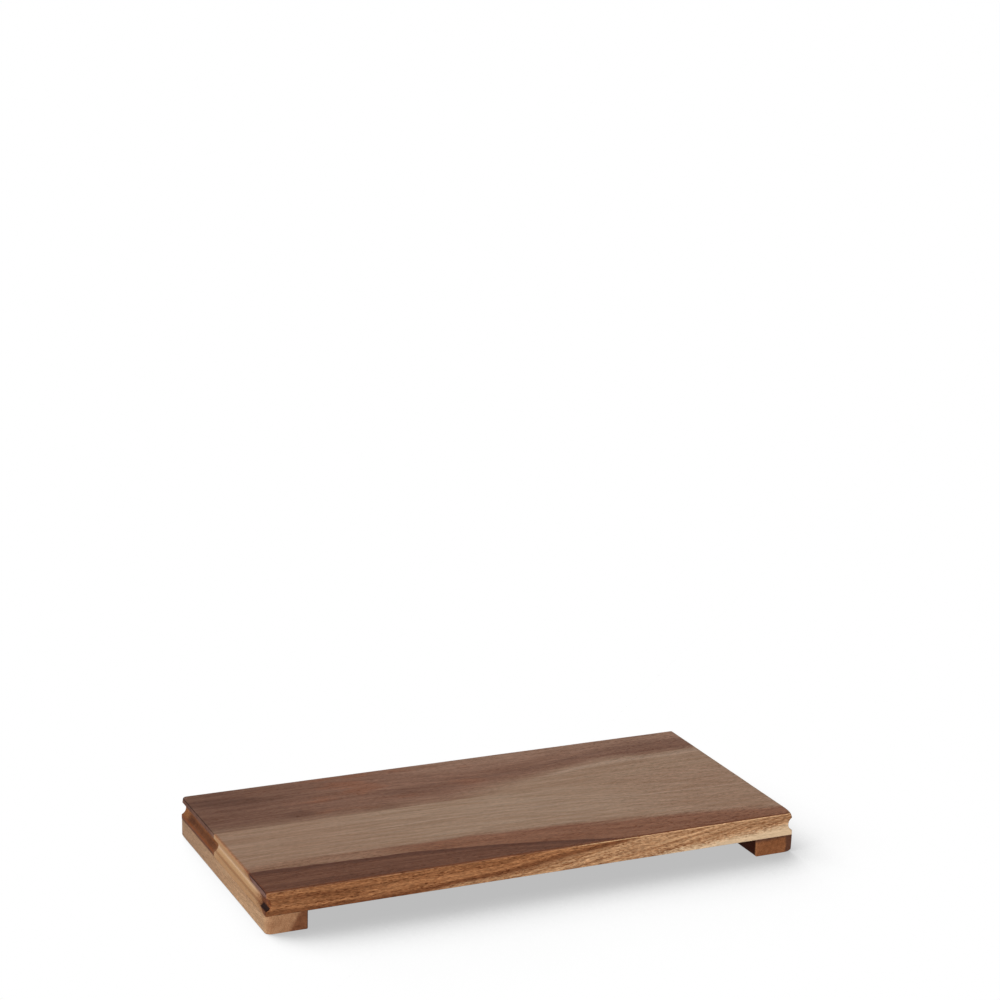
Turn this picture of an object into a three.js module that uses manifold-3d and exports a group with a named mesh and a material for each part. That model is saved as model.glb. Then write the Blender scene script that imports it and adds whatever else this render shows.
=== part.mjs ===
// Rectangular serving board: two edge-glued staves with a finger groove routed along each
// short end, carried on two foot rails that are screwed on from below.
//
// Millimetres. X runs along the length, Y from the front (-) to the back (+), Z up.
// The origin is on the table, under the middle of the board.

import * as THREE from 'three';
import { mergeVertices } from 'three/addons/utils/BufferGeometryUtils.js';
import Module from 'manifold-3d';

const wasm = await Module();
wasm.setup();

// Board blank, glued up from the two staves
const BOARD_LENGTH = 430;
const BOARD_DEPTH = 200;
const BOARD_THICKNESS = 18;
const BACK_STAVE_WIDTH = 82;
const CORNER_RADIUS = 1.2;
const BOARD_TOP_EDGE_RADIUS = 0.8;
const BOARD_BOTTOM_EDGE_RADIUS = 0.5;

// Finger groove along each short end, centred in the thickness
const GROOVE_HEIGHT = 10.4;
const GROOVE_DEPTH = 3.5;
const GROOVE_LIP_RADIUS = 0.5;

// Foot rails, flush with the ends and the long sides of the board
const RAIL_WIDTH = 32;
const RAIL_HEIGHT = 14;
const RAIL_OUTER_EDGE_RADIUS = 1.8;
const RAIL_INNER_EDGE_RADIUS = 1.3;
const RAIL_END_RADIUS = 0.6;

// Countersunk wood screws, one through each rail into each stave
const SCREW_DIAMETER = 4;
const SCREW_HEAD_DIAMETER = 8;
const SCREW_HEAD_RIM = 0.4;
const SCREW_HEAD_CONE = 2;
const SCREW_POINT_LENGTH = 4;
const SCREW_HEAD_RECESS = 1;
const SCREW_SIDE_DISTANCE = 40;
const WOOD_OVER_SCREW_POINT = 6;
const SCREW_CLEARANCE = 0.3;
const CROSS_RECESS_SPAN = 4.6;
const CROSS_RECESS_SLOT = 1;
const CROSS_RECESS_DEPTH = 1.8;

// Fineness of round stretches: points on a quarter turn, rings on an edge, sides of a screw
const ARC_POINTS = 3;
const EDGE_RINGS = 3;
const SCREW_SIDES = 24;

// How far a cutter runs past the wood that it cuts
const CUTTER_OVERRUN = 5;

// A rounded edge can only turn a corner that is rounder than itself
const EDGE_TO_CORNER_LIMIT = 0.95;

// Places worked out from the sizes above
const boardBottom = RAIL_HEIGHT;
const boardTop = RAIL_HEIGHT + BOARD_THICKNESS;
const grooveCentreHeight = boardBottom + BOARD_THICKNESS / 2;
const boardEnd = BOARD_LENGTH / 2;
const boardSide = BOARD_DEPTH / 2;
const glueLine = boardSide - BACK_STAVE_WIDTH;
const screwLength = boardTop - WOOD_OVER_SCREW_POINT - SCREW_HEAD_RECESS;

const finishes = {
  heartwood: { color: 0x6e4a39, roughness: 0.55, metalness: 0 },
  sapwood: { color: 0x8f7059, roughness: 0.55, metalness: 0 },
  paleRail: { color: 0xb08a62, roughness: 0.6, metalness: 0 },
  darkRail: { color: 0x7d4e2d, roughness: 0.6, metalness: 0 },
  steel: { color: 0xb4b2ac, roughness: 0.35, metalness: 1 },
};

/** A closed three.js geometry as a solid that can be joined and cut. */
function solidFrom(geometry) {
  const bare = geometry.clone();
  bare.deleteAttribute('normal');
  bare.deleteAttribute('uv');
  const merged = mergeVertices(bare);
  return new wasm.Manifold(new wasm.Mesh({
    numProp: 3,
    vertProperties: new Float32Array(merged.attributes.position.array),
    triVerts: new Uint32Array(merged.index.array),
  }));
}

/** A solid as a named mesh with its own material. */
function meshFrom(name, solid, finish) {
  const { vertProperties, triVerts } = solid.getMesh();
  const geometry = new THREE.BufferGeometry();
  geometry.setAttribute('position', new THREE.BufferAttribute(vertProperties, 3));
  geometry.setIndex(new THREE.BufferAttribute(triVerts, 1));
  geometry.computeVertexNormals();
  const mesh = new THREE.Mesh(geometry, new THREE.MeshStandardMaterial(finish));
  mesh.name = name;
  return mesh;
}

/** A box between two corners. */
function box(low, high) {
  const size = new THREE.Vector3().subVectors(high, low);
  const middle = new THREE.Vector3().addVectors(low, high).multiplyScalar(0.5);
  const geometry = new THREE.BoxGeometry(size.x, size.y, size.z);
  return solidFrom(geometry.translate(middle.x, middle.y, middle.z));
}

/** The radius of an edge that turns a corner of a given radius. */
function edgeAround(corner, radius) {
  return Math.min(radius, EDGE_TO_CORNER_LIMIT * corner);
}

/** The board's plan, with its four corners rounded. */
function boardOutline() {
  const x = boardEnd - CORNER_RADIUS;
  const y = boardSide - CORNER_RADIUS;
  const outline = new THREE.Shape();
  outline.absarc(x, y, CORNER_RADIUS, 0, Math.PI / 2);
  outline.absarc(-x, y, CORNER_RADIUS, Math.PI / 2, Math.PI);
  outline.absarc(-x, -y, CORNER_RADIUS, Math.PI, 1.5 * Math.PI);
  outline.absarc(x, -y, CORNER_RADIUS, 1.5 * Math.PI, 2 * Math.PI);
  return outline;
}

/** An outline raised to a length, which includes a rounded rim at either end. */
function rimmedExtrusion(outline, length, edgeRadius) {
  const geometry = new THREE.ExtrudeGeometry(outline, {
    depth: length - 2 * edgeRadius,
    curveSegments: ARC_POINTS,
    bevelThickness: edgeRadius,
    bevelSize: edgeRadius,
    bevelOffset: -edgeRadius,
    bevelSegments: EDGE_RINGS,
  });
  return geometry.translate(0, 0, edgeRadius);
}

/** The board's plate, whose upper and lower rims have radii of their own. */
function boardPlate() {
  const top = edgeAround(CORNER_RADIUS, BOARD_TOP_EDGE_RADIUS);
  const bottom = edgeAround(CORNER_RADIUS, BOARD_BOTTOM_EDGE_RADIUS);
  const length = BOARD_THICKNESS + CUTTER_OVERRUN;
  const upper = rimmedExtrusion(boardOutline(), length, top);
  const lower = rimmedExtrusion(boardOutline(), length, bottom);
  return solidFrom(upper.translate(0, 0, boardTop - length))
    .intersect(solidFrom(lower.translate(0, 0, boardBottom)));
}

/**
 * The cutter for the finger groove in the right-hand end, turned about the board's middle.
 * Its section is a circle through both lips and the deepest point, flared at each lip by an
 * arc that rounds the wood there.
 */
function grooveCutter(turn) {
  const halfHeight = GROOVE_HEIGHT / 2;
  const radius = (halfHeight ** 2 + GROOVE_DEPTH ** 2) / (2 * GROOVE_DEPTH);
  const centre = boardEnd - GROOVE_DEPTH + radius;
  const flareCentre = boardEnd - GROOVE_LIP_RADIUS;
  const flareHeight = Math.sqrt((radius + GROOVE_LIP_RADIUS) ** 2 - (centre - flareCentre) ** 2);
  const flareAngle = Math.atan2(flareHeight, centre - flareCentre);
  const outside = boardEnd + CUTTER_OVERRUN;
  const section = new THREE.Shape();
  section.moveTo(outside, flareHeight);
  section.lineTo(boardEnd, flareHeight);
  section.absarc(flareCentre, flareHeight, GROOVE_LIP_RADIUS, 0, -flareAngle, true);
  section.absarc(centre, 0, radius, Math.PI - flareAngle, Math.PI + flareAngle);
  section.absarc(flareCentre, -flareHeight, GROOVE_LIP_RADIUS, flareAngle, 0, true);
  section.lineTo(outside, -flareHeight);
  const length = BOARD_DEPTH + 2 * CUTTER_OVERRUN;
  const geometry = new THREE.ExtrudeGeometry(section, {
    depth: length,
    curveSegments: 2 * ARC_POINTS,
    bevelEnabled: false,
  });
  geometry.rotateX(Math.PI / 2);
  geometry.translate(0, length / 2, grooveCentreHeight);
  return solidFrom(geometry.rotateZ(turn));
}

/**
 * A screw, or the hole for it, about its own axis with the head's face at height 0.
 * A hole is the same profile grown by its clearance and opened downwards from the head.
 */
function screwTurning(clearance, opening) {
  const head = SCREW_HEAD_DIAMETER / 2 + clearance;
  const body = SCREW_DIAMETER / 2 + clearance;
  const profile = [
    new THREE.Vector2(0, -opening),
    new THREE.Vector2(head, -opening),
    new THREE.Vector2(head, SCREW_HEAD_RIM),
    new THREE.Vector2(body, SCREW_HEAD_RIM + SCREW_HEAD_CONE),
    new THREE.Vector2(body, screwLength - SCREW_POINT_LENGTH),
    new THREE.Vector2(0, screwLength + clearance),
  ];
  return new THREE.LatheGeometry(profile, SCREW_SIDES).rotateX(Math.PI / 2);
}

/** The cross recess that is sunk into a screw's head. */
function crossRecess() {
  const span = CROSS_RECESS_SPAN / 2;
  const slot = CROSS_RECESS_SLOT / 2;
  const along = box(
    new THREE.Vector3(-span, -slot, -CUTTER_OVERRUN),
    new THREE.Vector3(span, slot, CROSS_RECESS_DEPTH),
  );
  const across = box(
    new THREE.Vector3(-slot, -span, -CUTTER_OVERRUN),
    new THREE.Vector3(slot, span, CROSS_RECESS_DEPTH),
  );
  return along.add(across);
}

/** Where the screws stand: under the middle of each rail, near the front and the back. */
function screwPlaces() {
  const x = boardEnd - RAIL_WIDTH / 2;
  const y = boardSide - SCREW_SIDE_DISTANCE;
  return [
    { name: 'left_front_screw', at: [-x, -y, SCREW_HEAD_RECESS] },
    { name: 'left_back_screw', at: [-x, y, SCREW_HEAD_RECESS] },
    { name: 'right_front_screw', at: [x, -y, SCREW_HEAD_RECESS] },
    { name: 'right_back_screw', at: [x, y, SCREW_HEAD_RECESS] },
  ];
}

const places = screwPlaces();
const hole = screwTurning(SCREW_CLEARANCE, SCREW_HEAD_RECESS + CUTTER_OVERRUN);
const holes = places
  .map(({ at }) => solidFrom(hole.clone().translate(...at)))
  .reduce((all, one) => all.add(one));

/** The glued-up board with both finger grooves and the screw holes. */
function boardBlank() {
  return boardPlate()
    .subtract(grooveCutter(0))
    .subtract(grooveCutter(Math.PI))
    .subtract(holes);
}

/** The strip of the blank between two places across its depth. */
function stave(blank, front, back) {
  const reach = boardEnd + CUTTER_OVERRUN;
  const strip = box(
    new THREE.Vector3(-reach, front, boardBottom - CUTTER_OVERRUN),
    new THREE.Vector3(reach, back, boardTop + CUTTER_OVERRUN),
  );
  return blank.intersect(strip);
}

/** The left rail's section: square at the top, and rounded below on each side. */
function railSection() {
  const outer = RAIL_OUTER_EDGE_RADIUS;
  const inner = RAIL_INNER_EDGE_RADIUS;
  const section = new THREE.Shape();
  section.moveTo(RAIL_WIDTH, RAIL_HEIGHT);
  section.lineTo(0, RAIL_HEIGHT);
  section.absarc(outer, outer, outer, Math.PI, 1.5 * Math.PI);
  section.absarc(RAIL_WIDTH - inner, inner, inner, 1.5 * Math.PI, 2 * Math.PI);
  return section;
}

/** The left foot rail, turned about the board's middle and drilled for its screws. */
function footRail(turn) {
  const corner = Math.min(RAIL_OUTER_EDGE_RADIUS, RAIL_INNER_EDGE_RADIUS);
  const ends = edgeAround(corner, RAIL_END_RADIUS);
  const geometry = rimmedExtrusion(railSection(), BOARD_DEPTH, ends);
  geometry.rotateX(Math.PI / 2);
  geometry.translate(-boardEnd, boardSide, 0);
  return solidFrom(geometry.rotateZ(turn)).subtract(holes);
}

const leftRail = footRail(0);
const rightRail = footRail(Math.PI);

const blank = boardBlank();
const backStave = stave(blank, glueLine, boardSide + CUTTER_OVERRUN);
const frontStave = stave(blank, -boardSide - CUTTER_OVERRUN, glueLine);

const servingBoard = new THREE.Group();
servingBoard.add(meshFrom('back_stave', backStave, finishes.heartwood));
servingBoard.add(meshFrom('front_stave', frontStave, finishes.sapwood));
servingBoard.add(meshFrom('left_foot_rail', leftRail, finishes.paleRail));
servingBoard.add(meshFrom('right_foot_rail', rightRail, finishes.darkRail));

const screw = solidFrom(screwTurning(0, 0)).subtract(crossRecess());
for (const { name, at } of places) {
  const mesh = meshFrom(name, screw, finishes.steel);
  mesh.position.set(...at);
  servingBoard.add(mesh);
}

export default servingBoard;
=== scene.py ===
"""Looks of a footed wooden serving board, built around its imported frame.

Everything is in metres in the frame's own axes: X along the length, Y from the front to the
back, Z up from the table. Wood figures are written in millimetres of the same axes.
"""

import logging
import math
from collections.abc import Mapping, Sequence
from dataclasses import dataclass, field
from enum import Enum
from functools import cached_property

import bmesh
import bpy
import numpy as np
from mathutils import Matrix, Vector

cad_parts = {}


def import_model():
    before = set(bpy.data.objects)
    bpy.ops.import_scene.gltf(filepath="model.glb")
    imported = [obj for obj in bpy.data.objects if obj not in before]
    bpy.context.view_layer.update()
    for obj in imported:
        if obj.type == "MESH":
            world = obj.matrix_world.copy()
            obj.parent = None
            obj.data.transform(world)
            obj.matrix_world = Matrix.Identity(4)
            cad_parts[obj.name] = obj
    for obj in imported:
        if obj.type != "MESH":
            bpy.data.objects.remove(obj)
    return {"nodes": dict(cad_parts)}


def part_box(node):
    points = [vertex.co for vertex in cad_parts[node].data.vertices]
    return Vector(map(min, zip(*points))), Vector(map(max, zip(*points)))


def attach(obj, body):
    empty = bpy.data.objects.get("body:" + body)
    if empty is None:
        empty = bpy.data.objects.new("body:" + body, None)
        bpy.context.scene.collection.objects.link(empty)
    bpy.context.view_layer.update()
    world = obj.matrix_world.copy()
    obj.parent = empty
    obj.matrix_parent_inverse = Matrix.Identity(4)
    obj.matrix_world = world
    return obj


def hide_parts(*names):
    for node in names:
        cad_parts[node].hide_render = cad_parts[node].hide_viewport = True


LOG = logging.getLogger("serving_board")
MM = 0.001
BODY = "root"
END_GRAIN = "end_grain"
SHARP_ANGLE = math.radians(38)
MERGE_DISTANCE = 0.2e-6
SAME_POINT = 1e-7
WHITE = (1.0, 1.0, 1.0, 1.0)
# Share, length per radian and phase of each wave along a worn edge
WEAR_WAVES = ((0.6, 15.5 * MM, 1.3), (0.4, 6.4 * MM, 0.4))


class Side(Enum):
    """The long side of the board that a stave lies on."""

    FRONT = "front"
    BACK = "back"


class End(Enum):
    """The end of the board that a rail lies under."""

    LEFT = "left"
    RIGHT = "right"


class GrainAxis(Enum):
    """The frame axis that a piece's grain runs along."""

    X = (1.0, 0.0, 0.0)
    Y = (0.0, 1.0, 0.0)


class Blend(Enum):
    """How one colour goes onto another, by the Mix node's names."""

    OVER = "MIX"
    TIMES = "MULTIPLY"


class Slope(Enum):
    """How a step goes from 0 to 1, by the Map Range node's names."""

    STRAIGHT = "LINEAR"
    SMOOTH = "SMOOTHSTEP"


# Shader graphs


@dataclass(frozen=True)
class Tint:
    """A colour in 8-bit display values, as a colour picker shows it."""

    red: float
    green: float
    blue: float

    @property
    def linear(self) -> tuple[float, float, float, float]:
        """The colour in the linear light that shaders work in, by the sRGB curve, with full alpha."""
        shares = np.array([self.red, self.green, self.blue]) / 255
        light = np.where(shares <= 0.04045, shares / 12.92, ((shares + 0.055) / 1.055) ** 2.4)
        return (*light.tolist(), 1.0)


class Wire:
    """A number on a shader socket. Python's operators on it add Math nodes."""

    def __init__(self, graph: "Graph", socket: bpy.types.NodeSocket) -> None:
        """Wraps an output socket of a graph."""
        self.graph = graph
        self.socket = socket

    def __add__(self, other: "Number") -> "Wire":
        """self + other."""
        return self.graph.math("ADD", self, other)

    def __radd__(self, other: "Number") -> "Wire":
        """other + self."""
        return self.graph.math("ADD", other, self)

    def __sub__(self, other: "Number") -> "Wire":
        """self - other."""
        return self.graph.math("SUBTRACT", self, other)

    def __rsub__(self, other: "Number") -> "Wire":
        """other - self."""
        return self.graph.math("SUBTRACT", other, self)

    def __mul__(self, other: "Number") -> "Wire":
        """self * other."""
        return self.graph.math("MULTIPLY", self, other)

    def __rmul__(self, other: "Number") -> "Wire":
        """other * self."""
        return self.graph.math("MULTIPLY", other, self)

    def __pow__(self, other: "Number") -> "Wire":
        """self raised to other."""
        return self.graph.math("POWER", self, other)

    def __rpow__(self, other: "Number") -> "Wire":
        """other raised to self."""
        return self.graph.math("POWER", other, self)

    def root(self) -> "Wire":
        """Square root."""
        return self.graph.math("SQRT", self)

    def share(self, low: "Number", high: "Number", slope: Slope = Slope.STRAIGHT) -> "Wire":
        """The clamped share of the way from low to high."""
        settings = {"clamp": True, "interpolation_type": slope.value}
        sockets = {"Value": self, "From Min": low, "From Max": high}
        node = self.graph.node("MapRange", settings, sockets)
        return Wire(self.graph, node.outputs["Result"])

    def rise(self, low: "Number", high: "Number") -> "Wire":
        """A smooth step up from low to high: 3 t^2 - 2 t^3, with t the clamped share."""
        return self.share(low, high, Slope.SMOOTH)

    def fall(self, low: "Number", high: "Number") -> "Wire":
        """A smooth step down from 1 at low to 0 at high."""
        return 1.0 - self.rise(low, high)

    def band(self, start: float, full: float, ebb: float, end: float) -> "Wire":
        """A smooth step up from start to full, and one down from ebb to end."""
        return self.rise(start, full) * self.fall(ebb, end)


Number = Wire | float | int
Feed = Wire | Tint | bpy.types.NodeSocket | float | Sequence[float]
Step = tuple[float, float]
Band = tuple[float, float, float, float]


class Graph:
    """The node tree of one material or of the world."""

    def __init__(self, tree: bpy.types.NodeTree) -> None:
        """Empties the tree."""
        self.tree = tree
        tree.nodes.clear()

    def node(
        self,
        kind: str,
        settings: Mapping[str, object] | None = None,
        sockets: Mapping[str | int, Feed] | None = None,
    ) -> bpy.types.Node:
        """Adds a node.

        Args:
            kind: the node's type, without the ShaderNode that every type starts with.
            settings: its properties, set first.
            sockets: values or links for its inputs, by name or number.

        Returns:
            The new node.
        """
        made = self.tree.nodes.new(f"ShaderNode{kind}")
        for name, value in (settings or {}).items():
            setattr(made, name, value)
        for key, value in (sockets or {}).items():
            target = made.inputs[key]
            if isinstance(value, Wire):
                self.tree.links.new(value.socket, target)
            elif isinstance(value, bpy.types.NodeSocket):
                self.tree.links.new(value, target)
            elif isinstance(value, Tint):
                target.default_value = value.linear
            else:
                target.default_value = value
        return made

    def math(self, operation: str, *values: Number) -> Wire:
        """A Math node on one or two numbers."""
        node = self.node("Math", {"operation": operation}, dict(enumerate(values)))
        return Wire(self, node.outputs["Value"])

    def vector(self, operation: str, first: Feed, second: Feed) -> bpy.types.NodeSocket:
        """A Vector Math node on two vectors."""
        node = self.node("VectorMath", {"operation": operation}, {0: first, 1: second})
        return node.outputs["Vector"]

    def combine(self, x: Number, y: Number, z: Number) -> bpy.types.NodeSocket:
        """A vector from three numbers."""
        return self.node("CombineXYZ", None, {"X": x, "Y": y, "Z": z}).outputs["Vector"]

    def separate(self, vector: bpy.types.NodeSocket) -> tuple[Wire, Wire, Wire]:
        """The three numbers of a vector."""
        node = self.node("SeparateXYZ", None, {"Vector": vector})
        return tuple(Wire(self, node.outputs[axis]) for axis in "XYZ")

    def principled(self, feeds: Mapping[str, Feed]) -> None:
        """Ends a material's graph in a Principled shader."""
        shader = self.node("BsdfPrincipled", None, feeds)
        self.node("OutputMaterial", None, {"Surface": shader.outputs["BSDF"]})

    def mix(
        self, share: Number, first: Feed, second: Feed, blend: Blend = Blend.OVER
    ) -> bpy.types.NodeSocket:
        """A Mix node on two colours."""
        settings = {"data_type": "RGBA", "blend_type": blend.value}
        node = self.node("Mix", settings, {"Factor": share, "A": first, "B": second})
        return node.outputs["Result"]


def new_material(name: str) -> tuple[bpy.types.Material, Graph]:
    """A new material and its empty graph."""
    material = bpy.data.materials.new(name)
    material.use_nodes = True
    return material, Graph(material.node_tree)


# Wood


class Grain:
    """Coordinates in millimetres inside a piece of wood: along its grain, across it and up.

    The across and up coordinates wander along the grain, slowly and quickly, as fibres do.
    """

    HALF_LENGTH = 215.0
    TOP = 32.0
    ARRIS_HEIGHTS = (TOP - 1.2, TOP - 0.7)
    ARRIS_TURN = (0.15, 0.45, 0.8, 0.97)
    EDGE_HEIGHTS = (TOP - 0.62, TOP - 0.3)
    GROOVE_DEPTHS = (0.3, 1.6)
    GROOVE_HEIGHTS = (28.2, 29.2)
    SEED_SHIFTS = (1.0, 2.3, 3.1)
    DETAIL = 2.0
    NOISE_ROUGHNESS = 0.55
    # Length and width of the features, and how far they move the grain
    WANDERS = ((170.0, 46.0, 6.0), (46.0, 13.0, 2.8))
    # Length and width of the features, and the noise's detail
    STREAKS = (80.0, 4.0, 4.0)
    FIBRES = (34.0, 0.9, DETAIL)
    FLECKS = (4.2, 0.46, DETAIL)
    CLOUDS = (64.0, 17.0, 3.0)
    STREAK_FRAY = 7.0
    FIBRE_FRAY = 4.0

    def __init__(self, graph: Graph, axis: GrainAxis, seed: float) -> None:
        """Adds the coordinate nodes and the marks that every figure is drawn with.

        Args:
            graph: the material's graph.
            axis: which way the grain runs.
            seed: a shift that gives each piece a figure of its own.
        """
        self.graph = graph
        self.seed = seed
        place = graph.node("TexCoord").outputs["Object"]
        scaled = graph.vector("MULTIPLY", place, (1 / MM, 1 / MM, 1 / MM))
        self.x, self.y, self.height = graph.separate(scaled)
        self.place = scaled if axis is GrainAxis.X else graph.combine(self.y, self.x, self.height)
        for length, width, amount in self.WANDERS:
            cloud = self.noise_node(self.place, (length, width, width), self.DETAIL)
            centred = graph.vector("SUBTRACT", cloud.outputs["Color"], (0.5, 0.5, 0.5))
            wander = graph.vector("MULTIPLY", centred, (0.0, amount, amount))
            self.place = graph.vector("ADD", self.place, wander)
        self.along, self.across, self.up = graph.separate(self.place)
        attribute = graph.node("Attribute", {"attribute_name": END_GRAIN})
        self.end = Wire(graph, attribute.outputs["Fac"])
        self.streaks = self.noise(*self.STREAKS)
        self.fibres = self.noise(*self.FIBRES)
        self.flecks = self.noise(*self.FLECKS)
        self.clouds = self.noise(*self.CLOUDS)

    def noise_node(
        self, place: bpy.types.NodeSocket, size: tuple[float, float, float], detail: float
    ) -> bpy.types.Node:
        """Noise whose features measure size millimetres along, across and up the grain."""
        shift = tuple(share * self.seed for share in self.SEED_SHIFTS)
        scale = tuple(1 / length for length in size)
        sockets = {"Vector": place, "Location": shift, "Scale": scale}
        placed = self.graph.node("Mapping", None, sockets).outputs["Vector"]
        look = {"Scale": 1.0, "Detail": detail, "Roughness": self.NOISE_ROUGHNESS}
        return self.graph.node("TexNoise", None, {"Vector": placed, **look})

    def noise(self, length: float, width: float, detail: float = DETAIL) -> Wire:
        """Noise from about 0 to 1 that follows the wandering grain."""
        node = self.noise_node(self.place, (length, width, width), detail)
        return Wire(self.graph, node.outputs["Fac"])

    def layers(self, depth: Wire, length: float, width: float, detail: float) -> Wire:
        """Noise in layers that follow a depth, as growth rings follow the bark."""
        place = self.graph.combine(self.along, depth, 0.0)
        node = self.noise_node(place, (length, width, 1.0), detail)
        return Wire(self.graph, node.outputs["Fac"])

    @cached_property
    def under_top(self) -> Wire:
        """Millimetres under the top."""
        return self.TOP - self.height

    @cached_property
    def sunk(self) -> Wire:
        """Millimetres under the top by the wandering grain."""
        return self.TOP - self.up

    @cached_property
    def ragged(self) -> Wire:
        """Millimetres by which streaks and fibres fray the edge of a colour."""
        return (self.streaks - 0.5) * self.STREAK_FRAY + (self.fibres - 0.5) * self.FIBRE_FRAY

    def hollow(self) -> Wire:
        """1 in the end grain of the finger grooves, 0 elsewhere."""
        inside = self.HALF_LENGTH - self.graph.math("ABSOLUTE", self.along)
        return self.end * inside.rise(*self.GROOVE_DEPTHS) * self.height.fall(*self.GROOVE_HEIGHTS)

    def arris(self) -> Wire:
        """1 on the rounded edge between the top and an end, 0 elsewhere."""
        return self.end.band(*self.ARRIS_TURN) * self.height.rise(*self.ARRIS_HEIGHTS)


@dataclass(frozen=True)
class GrowthEdge:
    """A layer that bends along Y as it runs along the board, and leans below the top.

    On the top its place is place + shift t^bend, with t the share of reach after start.
    """

    place: float
    shift: float
    start: float
    reach: float
    bend: float
    lean: float

    def beyond(self, grain: Grain) -> Wire:
        """Millimetres in front of the layer."""
        way = grain.along.share(self.start, self.start + self.reach)
        edge = self.place + way**self.bend * self.shift
        return edge - grain.sunk * self.lean - grain.across


@dataclass(frozen=True)
class Smudge:
    """A smoky dark patch, long along the grain, with frayed edges.

    Its middle is at along and across, it reaches half its length and width to each side, and
    its middle line climbs by slope.
    """

    along: float
    across: float
    half_length: float
    half_width: float
    strength: float
    slope: float = 0.0
    fray: float = 0.8

    def shade(self, grain: Grain) -> Wire:
        """Its strength in the middle, falling to 0 at its edge."""
        x = grain.along - self.along
        y = grain.across - self.across - x * self.slope + grain.ragged * self.fray
        far = (x * x) * self.half_length**-2 + (y * y) * self.half_width**-2
        return far.fall(0.0, 1.0) * self.strength


@dataclass(frozen=True)
class WoodColour:
    """The colour of a figure, and how open the wood's pores are."""

    colour: bpy.types.NodeSocket
    porous: Wire | float


@dataclass(frozen=True)
class RingedWood:
    """A wood's colour, and the darker colour of its rings."""

    plain: Tint
    rings: Tint

    def draw(self, grain: Grain, shade: Wire) -> bpy.types.NodeSocket:
        """The wood, with its rings where the shade is 1."""
        return grain.graph.mix(shade, self.plain, self.rings)


@dataclass(frozen=True)
class Stain:
    """A colour that goes onto a wood where a mask is 1."""

    tint: Tint
    strength: float = 1.0
    blend: Blend = Blend.OVER


def stained(
    grain: Grain, wood: bpy.types.NodeSocket, stains: Sequence[tuple[Stain, Wire]]
) -> bpy.types.NodeSocket:
    """A wood with stains on it, put on in turn, each by its mask times its strength."""
    for stain, mask in stains:
        wood = grain.graph.mix(mask * stain.strength, wood, stain.tint, stain.blend)
    return wood


class Figure:
    """How the colours of a piece of wood lie in it."""

    RING_STEPS = (0.34, 0.66)
    PORES = 0.2
    RIGHT_PORES = 0.4
    RIGHT_PORES_FROM = (60.0, 150.0)

    def draw(self, grain: Grain) -> WoodColour:
        """The wood before its fibres, pores and end grain."""
        raise NotImplementedError

    def ringed(self, grain: Grain, depth: Wire, size: tuple[float, float, float]) -> Wire:
        """Shade of growth rings that follow a depth and of streaks, half and half."""
        return (grain.layers(depth, *size) * 0.5 + grain.streaks * 0.5).rise(*self.RING_STEPS)


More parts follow.
